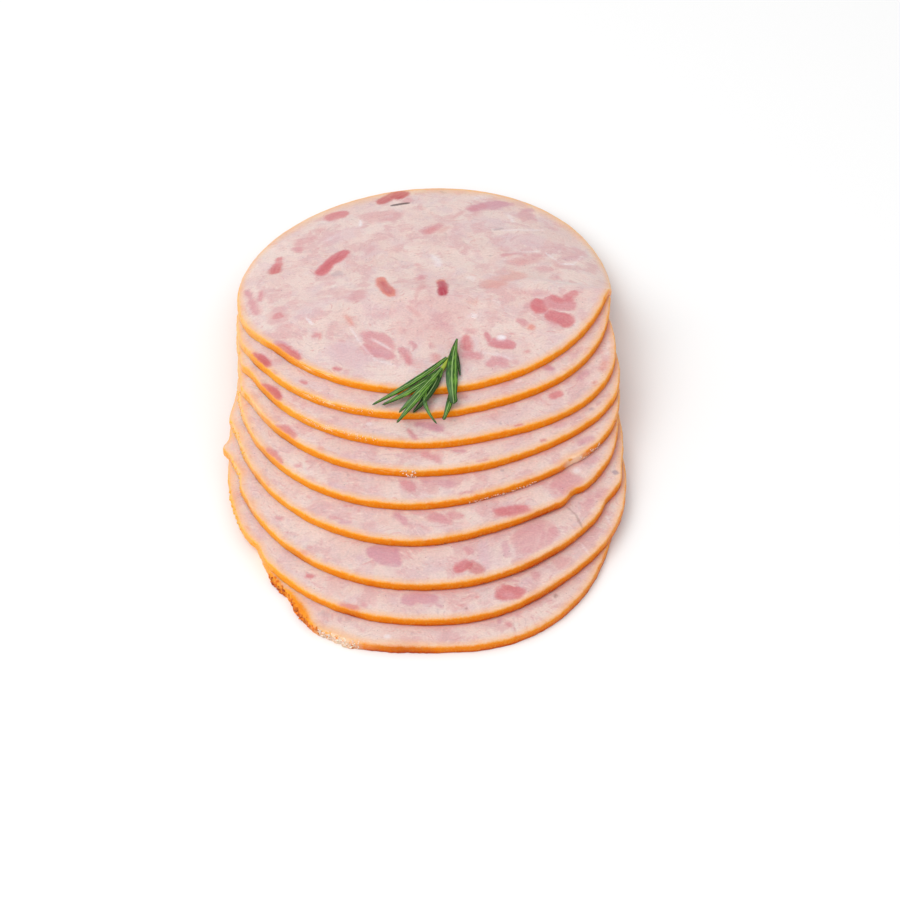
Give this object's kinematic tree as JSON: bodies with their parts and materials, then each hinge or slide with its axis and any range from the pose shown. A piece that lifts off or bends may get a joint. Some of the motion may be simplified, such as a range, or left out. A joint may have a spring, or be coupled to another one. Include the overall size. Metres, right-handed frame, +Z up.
{
  "type": "sliced smoked ham",
  "caption": "Round slices of smoked pressed ham laid overlapping as a draped fan, with a small rosemary sprig across the front edges.",
  "frame": {"origin": "middle of the footprint, on the surface that the slices lie on", "axes": "+Z up, +Y along the fan from the lowest slice towards the topmost one, +X to the right seen from the lowest slice"},
  "size_m": [0.1535, 0.2517, 0.0364],
  "materials": {
    "ham_meat": "moist pale pink ham with rosy chunks and a golden smoked rind, soft satin shine",
    "rosemary": "fresh green rosemary leaves, satin, with paler midribs"
  },
  "bodies": {
    "root": {"slice_1": "ham_meat", "slice_2": "ham_meat", "slice_3": "ham_meat", "slice_4": "ham_meat", "slice_5": "ham_meat", "slice_6": "ham_meat", "slice_7": "ham_meat", "slice_8": "ham_meat", "slice_9": "ham_meat", "rosemary_sprig": "rosemary"}
  },
  "joints": []
}
